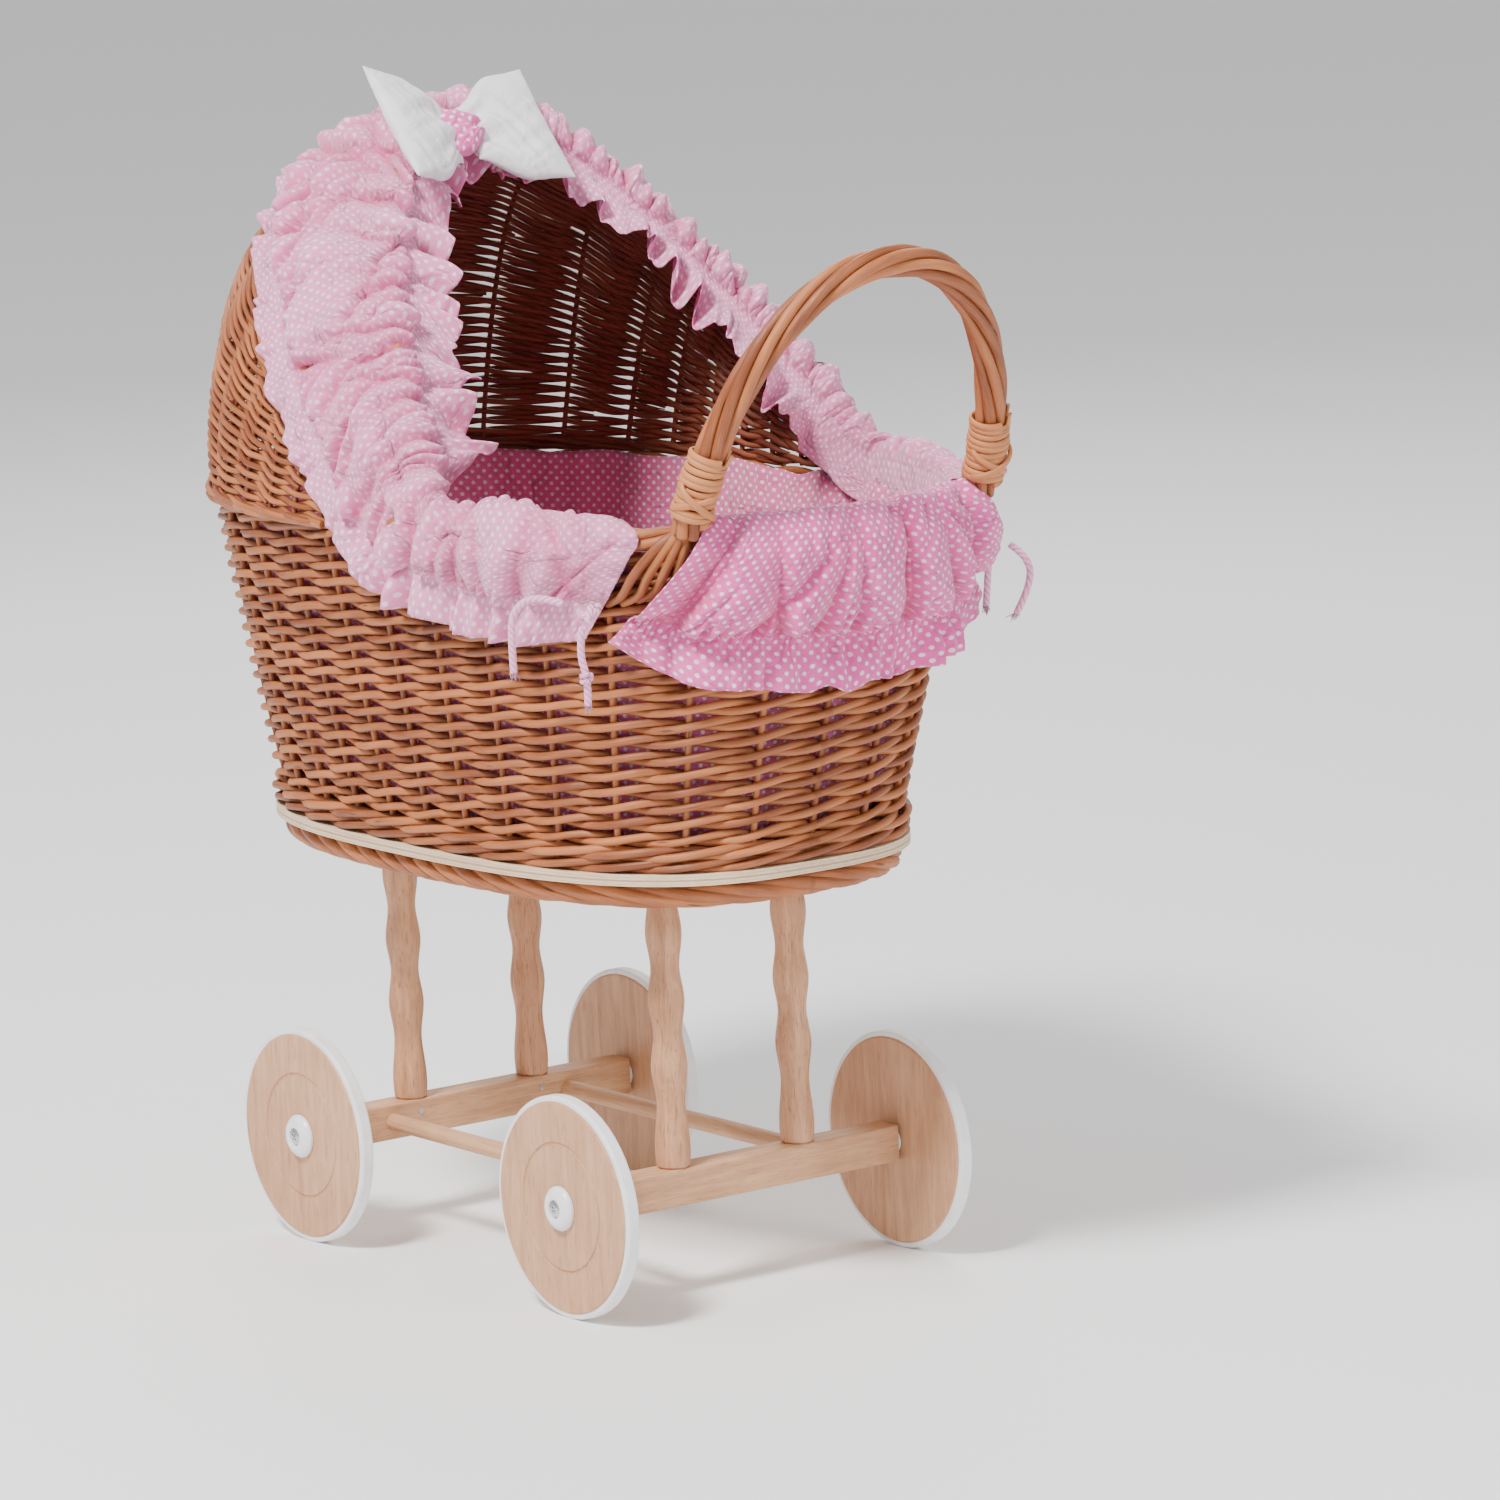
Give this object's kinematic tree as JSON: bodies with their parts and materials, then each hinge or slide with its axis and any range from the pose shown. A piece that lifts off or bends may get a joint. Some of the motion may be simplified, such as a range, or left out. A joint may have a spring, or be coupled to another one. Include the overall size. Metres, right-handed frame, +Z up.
{
  "type": "doll stroller",
  "caption": "Wicker doll pram with a hooded basket, push handle, dotted cotton lining and frills, on a turned wooden underframe with rubber-tyred disc wheels.",
  "frame": {"origin": "on the floor, midway between the four wheels' axle ends", "axes": "+Z up; +X towards the foot end, where the push handle is; -X towards the hood; -Y is the left side of a person pushing it"},
  "size_m": [0.5644, 0.3314, 0.667],
  "materials": {
    "beech": "plain sanded beech",
    "plywood": "plain sanded plywood with ply lines on its edge",
    "willow": "peeled boiled willow, satin varnish",
    "white_rubber": "smooth white rubber",
    "white_plastic": "smooth white plastic",
    "zinc_steel": "bright zinc",
    "dotted_cotton": "pink plain-weave cotton with small white dots",
    "white_cotton": "white plain-weave cotton",
    "cotton_cord": "soft twisted pink cotton cord"
  },
  "bodies": {
    "root": {"axle_screw_foot_left": "zinc_steel", "axle_screw_foot_right": "zinc_steel", "axle_screw_head_left": "zinc_steel", "axle_screw_head_right": "zinc_steel", "base_board": "plywood", "base_screws": "zinc_steel", "basket_wall": "willow", "bottom_wale": "willow", "bow_knot": "dotted_cotton", "bow_loop_left": "white_cotton", "bow_loop_right": "white_cotton", "foot_axle_beam": "beech", "foot_border": "willow", "foot_valance": "dotted_cotton", "handle_arch": "willow", "handle_binding_left": "willow", "handle_binding_right": "willow", "handle_tails_left": "willow", "handle_tails_right": "willow", "head_axle_beam": "beech", "hood_edge_border": "willow", "hood_ruffle": "dotted_cotton", "hood_valance": "dotted_cotton", "hood_weave": "willow", "hub_cap_foot_left": "white_plastic", "hub_cap_foot_right": "white_plastic", "hub_cap_head_left": "white_plastic", "hub_cap_head_right": "white_plastic", "leg_brads": "zinc_steel", "leg_foot_left": "beech", "leg_foot_right": "beech", "leg_head_left": "beech", "leg_head_right": "beech", "lining": "dotted_cotton", "rim_border": "willow", "side_valance_left": "dotted_cotton", "side_valance_right": "dotted_cotton", "spacer_washer_foot_left": "white_plastic", "spacer_washer_foot_right": "white_plastic", "spacer_washer_head_left": "white_plastic", "spacer_washer_head_right": "white_plastic", "stretcher_left": "beech", "stretcher_right": "beech", "tie_knot_left": "cotton_cord", "tie_knot_right": "cotton_cord", "tie_left_front": "cotton_cord", "tie_left_rear": "cotton_cord", "tie_right_front": "cotton_cord", "tie_right_rear": "cotton_cord", "wall_stakes": "willow"},
    "wheel_head_left": {"wheel_disc_head_left": "beech", "tyre_head_left": "white_rubber"},
    "wheel_head_right": {"wheel_disc_head_right": "beech", "tyre_head_right": "white_rubber"},
    "wheel_foot_left": {"wheel_disc_foot_left": "beech", "tyre_foot_left": "white_rubber"},
    "wheel_foot_right": {"wheel_disc_foot_right": "beech", "tyre_foot_right": "white_rubber"}
  },
  "joints": [
    {"name": "spin_head_left", "type": "hinge", "parent": "root", "child": "wheel_head_left", "pos_m": [-0.131, -0.115, 0.0625], "axis": [0, 1, 0], "continuous": true},
    {"name": "spin_head_right", "type": "hinge", "parent": "root", "child": "wheel_head_right", "pos_m": [-0.131, 0.115, 0.0625], "axis": [0, 1, 0], "continuous": true},
    {"name": "spin_foot_left", "type": "hinge", "parent": "root", "child": "wheel_foot_left", "pos_m": [0.131, -0.115, 0.0625], "axis": [0, 1, 0], "continuous": true},
    {"name": "spin_foot_right", "type": "hinge", "parent": "root", "child": "wheel_foot_right", "pos_m": [0.131, 0.115, 0.0625], "axis": [0, 1, 0], "continuous": true}
  ]
}
